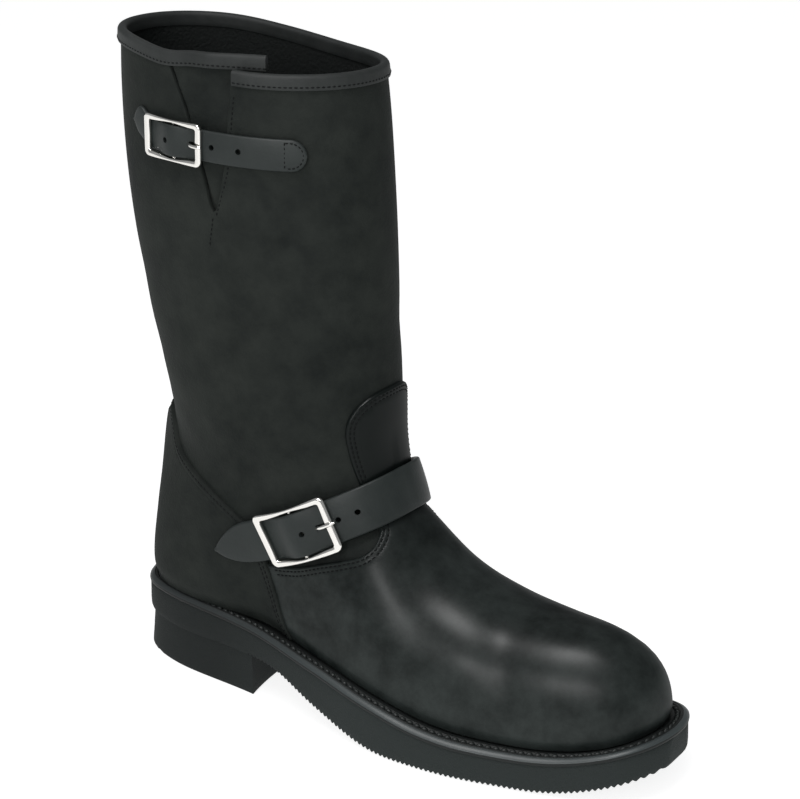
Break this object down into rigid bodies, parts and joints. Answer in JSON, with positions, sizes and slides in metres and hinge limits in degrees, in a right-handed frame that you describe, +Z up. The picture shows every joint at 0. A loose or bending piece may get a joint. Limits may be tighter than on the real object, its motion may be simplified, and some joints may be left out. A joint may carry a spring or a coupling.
{
  "type": "engineer boot",
  "caption": "Right engineer boot in black oiled leather, with a buckled ankle strap, a buckled top strap, a stitched welt and a block heel.",
  "frame": {"origin": "on the floor, below the middle of the boot's bounding box", "axes": "+X from the heel to the toe, +Y towards the inner side of the foot, +Z up"},
  "size_m": [0.3136, 0.108, 0.3352],
  "materials": {
    "upper": "black oiled leather, matt",
    "vamp": "black oiled leather with a soft sheen",
    "counter": "black oiled leather, matt",
    "gusset": "thin black leather",
    "collar_binding": "folded black leather strip",
    "gusset_binding": "folded black leather strip",
    "welt": "black, bevelled and stitched",
    "outsole": "black, matt, with a toothed edge",
    "insole": "dark lining",
    "heel": "black, matt",
    "ankle_strap": "black strap leather",
    "ankle_buckle": "polished nickel plate",
    "ankle_prong": "polished nickel plate",
    "top_strap": "black strap leather",
    "top_buckle": "polished nickel plate",
    "top_prong": "polished nickel plate"
  },
  "bodies": {
    "root": {"upper": "upper", "vamp": "vamp", "counter": "counter", "gusset": "gusset", "collar_binding": "collar_binding", "gusset_binding": "gusset_binding", "welt": "welt", "outsole": "outsole", "insole": "insole", "heel": "heel", "ankle_strap": "ankle_strap", "ankle_buckle": "ankle_buckle", "ankle_prong": "ankle_prong", "top_strap": "top_strap", "top_buckle": "top_buckle", "top_prong": "top_prong"}
  },
  "joints": []
}
